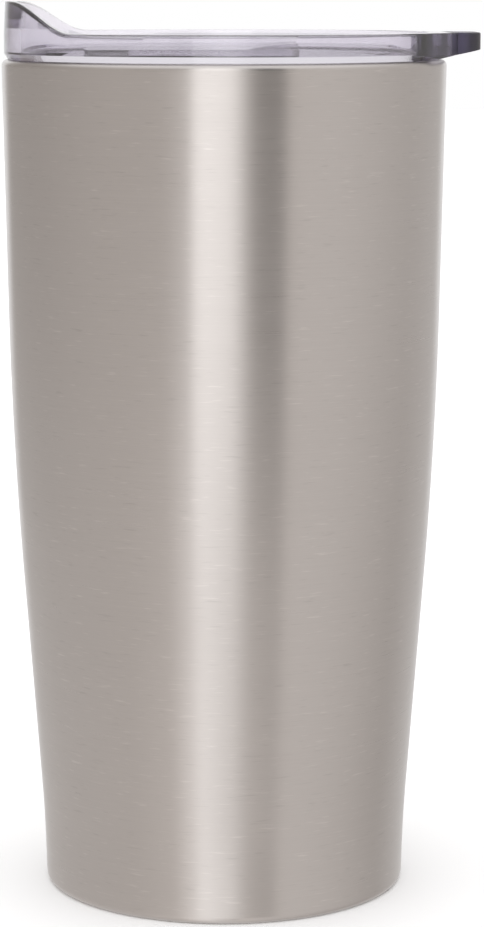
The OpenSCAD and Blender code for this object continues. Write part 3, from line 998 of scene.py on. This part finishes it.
class TUMBLER_OT_slider(bpy.types.Operator):
    """Makes the thumb slider, its pad and the clip under the deck"""

    bl_idname = "tumbler.slider"
    bl_label = "Slider"

    def execute(self, context):
        s = context.scene.tumbler_lid
        p = SliderPlan(LidPlan(BodyPlan(context.scene.tumbler_body), s))
        bottom, top = p.plate_z
        plastic = clear_material(
            "Slider plastic", s.absorption, s.slider_density, gloss=0.08, haze=0.15
        )
        play, overlap = 0.1 * MM, 0.3 * MM
        slider = prism("slider_plate", p.plate(p.high.x, p.high.y, s.plate_round), bottom, top)
        combine(slider, bar("ramp", self.ramp(p, s), s.thumb_w / 2), "UNION")
        recess = p.plate(p.pad_hi.x + play, p.pad_hi.y + play, 2 * play, inset=play)
        combine(slider, prism("recess", recess, bottom - MM, p.pad_hi.z), "DIFFERENCE")
        clip_z = (p.clip_lo.z, p.clip_hi.z)
        for x in p.legs:
            combine(slider, prism("leg", p.leg(x), clip_z[0] - play, bottom + overlap), "UNION")
            half = s.leg_w / 2
            side = [(-half + overlap, p.low.z), (half - overlap, p.low.z),
                    (half + s.hook, clip_z[0]), (-half - s.hook, clip_z[0])]
            foot = bar("foot", side, s.leg_l / 2)
            for v in foot.data.vertices:
                v.co = (x - v.co.y, v.co.x, v.co.z)
            combine(slider, foot, "UNION")
        soften(slider, 0.22 * MM)
        settle(slider, plastic)
        show(slider, "slider", "lid_plastic", "slider")

        clip = prism("clip", rectangle(p.clip_lo.x, p.clip_hi.x, p.clip_hi.y), *clip_z)
        for x in p.legs:
            hole = prism("hole", p.leg(x, play), clip_z[0] - MM, clip_z[1] + MM)
            combine(clip, hole, "DIFFERENCE")
        soften(clip, 0.25 * MM)
        settle(clip, plastic)
        show(clip, "slider", "lid_plastic", "slider_clip")

        outline = p.plate(p.pad_hi.x, p.pad_hi.y, 3 * play, inset=2 * play)
        pad = prism("pad", outline, p.pad_lo.z, p.pad_hi.z)
        soften(pad, 0.12 * MM)
        settle(pad, bpy.data.materials["Silicone"])
        show(pad, "slider", "silicone", "slider_pad")
        return {"FINISHED"}

    def ramp(self, p, s, steps=16):
        """The side view of the thumb ramp, which starts a little inside the plate."""
        top, foot_z = p.plate_z[1], p.plate_z[1] - 0.4 * MM
        back = p.high.x - s.thumb_inset
        front = back - s.thumb_l
        line = [(front, foot_z)]
        for i in range(steps + 1):
            rise = (p.high.z - top) * sin(pi / 2 * i / steps)
            line.append((front + (back - front) * i / steps, top + rise))
        return line + [(back, foot_z)]


# ---------------------------------------------------------------- the studio

# The world's strength, which no panel passes, and the brightness overhead.
PEAK = 2.2
OVERHEAD = 1.2
# Light is reflected many times inside the clear lid before it leaves.
LID_BOUNCES = 32
# Light round the horizon, level with it and well below it, which a taper reflects. Each
# panel is degrees from the camera towards +X, brightness and warmth.
HIGH_PANELS = (
    (-180, 1.0, 0), (-160, 0.95, 0), (-150, 0.42, 1), (-110, 0.44, 1), (-60, 0.56, 1), (-22, 0.47, 1),
    (-17, 0.5, 1), (-15.5, 1.78, 0.1), (4, 1.78, 0.1), (14, 0.26, 1), (18, 0.02, 1),
    (30, 0.02, 1), (34, 0.74, 0.8), (60, 0.78, 0.6), (150, 0.58, 0.6), (162, 0.95, 0), (180, 1.0, 0),
)
LOW_PANELS = (
    (-180, 0.9, 0), (-155, 0.75, 0.4), (-60, 0.7, 0.8), (-32, 0.86, 0.8), (-24, 1.2, 0.5),
    (-17, 1.27, 0.3), (-9, 1.08, 0.3), (0, 0.87, 0.5), (10, 0.84, 0.6), (20, 0.93, 0.8),
    (30, 0.84, 0.8), (42, 0.82, 0.6), (80, 0.7, 0.7), (115, 0.52, 0.8), (155, 0.75, 0.3), (180, 0.9, 0),
)


def panel_ramp(t, share, panels):
    """A ramp round the horizon from (degrees, level, warmth) panels, divided by PEAK."""
    ramp = t.add("ShaderNodeValToRGB", {"Fac": share})
    stops = ramp.color_ramp.elements
    while len(stops) < len(panels):
        stops.new(0.5)
    for stop, (degrees, level, warmth) in zip(stops, panels):
        shade = level / PEAK
        stop.position = 0.5 + degrees / 360
        stop.color = (shade, shade * (1 - 0.065 * warmth), shade * (1 - 0.115 * warmth), 1)
    return ramp.outputs[0]


def studio_world(scene):
    """Soft panels round the object, and plain white behind it."""
    world = bpy.data.worlds.new("Studio")
    world.use_nodes = True
    scene.world = world
    t = Tree(world.node_tree)
    world.node_tree.nodes.clear()
    way = t.add("ShaderNodeTexCoord").outputs["Generated"]
    split = t.add("ShaderNodeSeparateXYZ", {0: way}).outputs
    right = t.maths("ARCTAN2", split["X"], t.maths("MULTIPLY", split["Y"], -1.0))
    share = t.maths("MULTIPLY_ADD", right, 0.5 / pi, 0.5)
    level_view = panel_ramp(t, share, HIGH_PANELS)
    low_view = panel_ramp(t, share, LOW_PANELS)

    def between(start, end):
        return t.add(
            "ShaderNodeMapRange",
            {"Value": split["Z"], "From Min": start, "From Max": end},
            interpolation_type="SMOOTHSTEP",
        ).outputs[0]

    around = t.blend(between(0.0, -0.34), level_view, low_view)
    top = OVERHEAD / PEAK
    lit = t.blend(between(0.45, 0.8), around, (top, top, top, 1))
    camera = t.add("ShaderNodeLightPath").outputs["Is Camera Ray"]
    white = t.blend(camera, lit, (1 / PEAK, 1 / PEAK, 1 / PEAK, 1))
    back = t.add("ShaderNodeBackground", {"Color": white, "Strength": PEAK})
    t.add("ShaderNodeOutputWorld", {"Surface": back.outputs[0]})


def floor_material(tint):
    """A plain pale table with the faintest unevenness."""
    material, t, shader = new_material("Pale floor")
    place = t.add("ShaderNodeTexCoord").outputs["Object"]
    cloud = t.add("ShaderNodeTexNoise", {"Vector": place, "Scale": 3.0, "Detail": 2.0}).outputs[0]
    shade = t.blend(cloud, (*tint, 1), (*[min(1, 1.01 * c) for c in tint], 1))
    t.tree.links.new(shade, shader.inputs["Base Color"])
    shader.inputs["Roughness"].default_value = 0.7
    shader.inputs["Specular IOR Level"].default_value = 0.1
    return material


class TUMBLER_OT_stage(bpy.types.Operator):
    """Makes the pale floor, the soft light and the camera"""

    bl_idname = "tumbler.stage"
    bl_label = "Studio"

    def execute(self, context):
        scene = context.scene
        s = scene.tumbler_studio
        for name in ("Cube", "Light", "Camera"):
            if name in bpy.data.objects:
                bpy.data.objects.remove(bpy.data.objects[name])
        floor = prism("floor", arc((0, 0), 4, 0, 360, 96)[:-1], -0.02, 0)
        floor.data.materials.append(floor_material(s.floor))
        floor.visible_glossy = False
        studio_world(scene)

        lamp = bpy.data.lights.new("Sky", "SUN")
        lamp.angle = radians(110)
        lamp.energy = 1.4
        light = bpy.data.objects.new("Sky", lamp)
        light.rotation_euler = (radians(8), radians(-6), 0)
        light.visible_glossy = False
        light.visible_transmission = False
        scene.collection.objects.link(light)

        camera = bpy.data.objects.new("Camera", bpy.data.cameras.new("Camera"))
        camera.data.sensor_width = 36
        camera.data.lens = s.lens
        camera.data.shift_x = s.shift
        camera.data.clip_start = 0.01
        camera.location = (0, -s.distance, s.height)
        camera.rotation_euler = (pi / 2 - s.pitch, 0, 0)
        scene.collection.objects.link(camera)
        scene.camera = camera
        scene.view_settings.view_transform = "Standard"
        scene.cycles.max_bounces = LID_BOUNCES
        scene.cycles.glossy_bounces = LID_BOUNCES
        scene.cycles.transmission_bounces = LID_BOUNCES
        return {"FINISHED"}


# ---------------------------------------------------------------- the add-on


STEPS = (
    TUMBLER_OT_stage,
    TUMBLER_OT_shell,
    TUMBLER_OT_liner,
    TUMBLER_OT_base,
    TUMBLER_OT_lid,
    TUMBLER_OT_gasket,
    TUMBLER_OT_slider,
)


class TUMBLER_PT_panel(bpy.types.Panel):
    """Lists the pieces of the tumbler and the studio"""

    bl_label = "Tumbler"
    bl_idname = "TUMBLER_PT_panel"
    bl_space_type = "VIEW_3D"
    bl_region_type = "UI"
    bl_category = "Tumbler"

    def draw(self, context):
        for step in STEPS:
            self.layout.operator(step.bl_idname)


GROUPS = {
    "tumbler_body": TumblerBody,
    "tumbler_lid": TumblerLid,
    "tumbler_studio": TumblerStudio,
}


def register():
    """Registers the classes and hangs the sizes on the scene."""
    for kind in (*GROUPS.values(), *STEPS, TUMBLER_PT_panel):
        bpy.utils.register_class(kind)
    for name, group in GROUPS.items():
        setattr(bpy.types.Scene, name, bpy.props.PointerProperty(type=group))


def unregister():
    """Takes the classes and the sizes away again."""
    for name in GROUPS:
        delattr(bpy.types.Scene, name)
    for kind in reversed((*GROUPS.values(), *STEPS, TUMBLER_PT_panel)):
        bpy.utils.unregister_class(kind)


def main():
    """Registers the classes and builds everything in order."""
    register()
    for step in STEPS:
        group, name = step.bl_idname.split(".")
        getattr(getattr(bpy.ops, group), name)()


if __name__ == "__main__":
    main()
